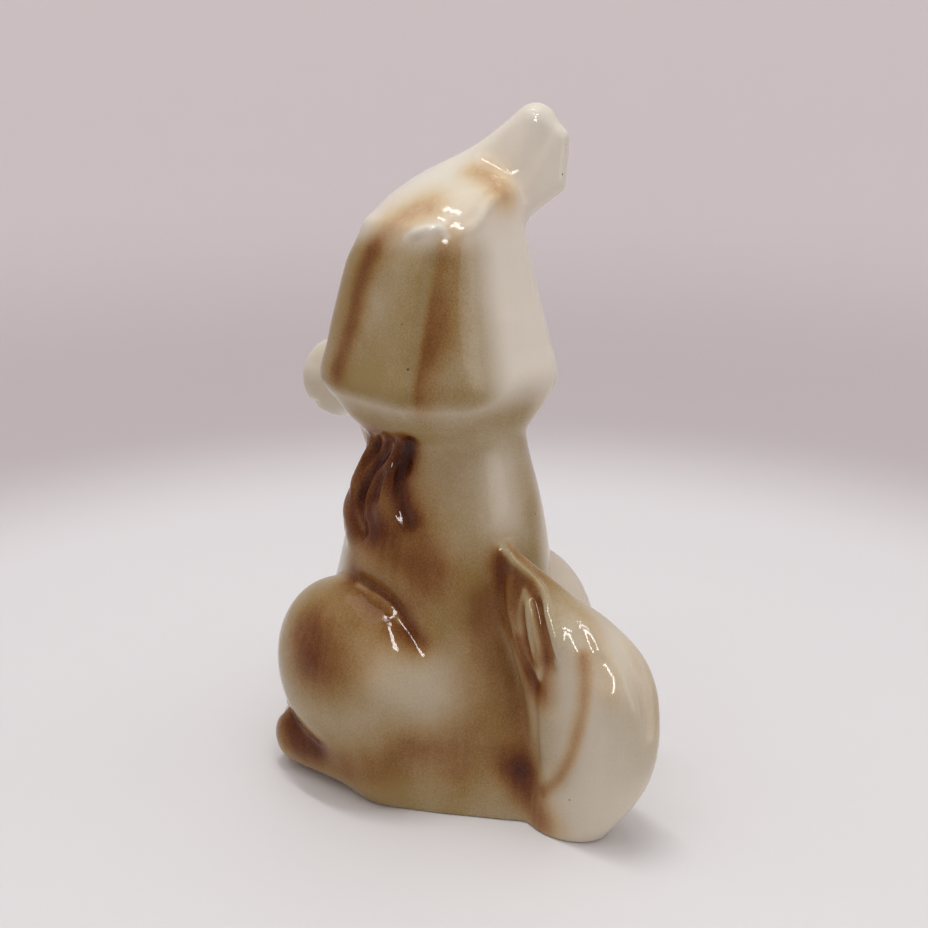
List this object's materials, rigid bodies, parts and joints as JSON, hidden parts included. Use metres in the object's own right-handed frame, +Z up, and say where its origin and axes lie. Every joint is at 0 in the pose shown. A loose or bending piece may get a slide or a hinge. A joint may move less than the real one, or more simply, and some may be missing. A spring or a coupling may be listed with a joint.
{
  "type": "puppy figurine",
  "caption": "Glazed pottery puppy sitting upright, the left ear hanging and the right ear raised, its plumed tail curled up against its back. Stands on a flat underside.",
  "frame": {"origin": "middle of the whole figurine's box, on the plane that its flat underside rests on", "axes": "the puppy faces -Y, its left side is +X and +Z is up"},
  "size_m": [0.0748, 0.1118, 0.16],
  "materials": {
    "glaze": null
  },
  "bodies": {
    "root": {"puppy": "glaze"}
  },
  "joints": []
}
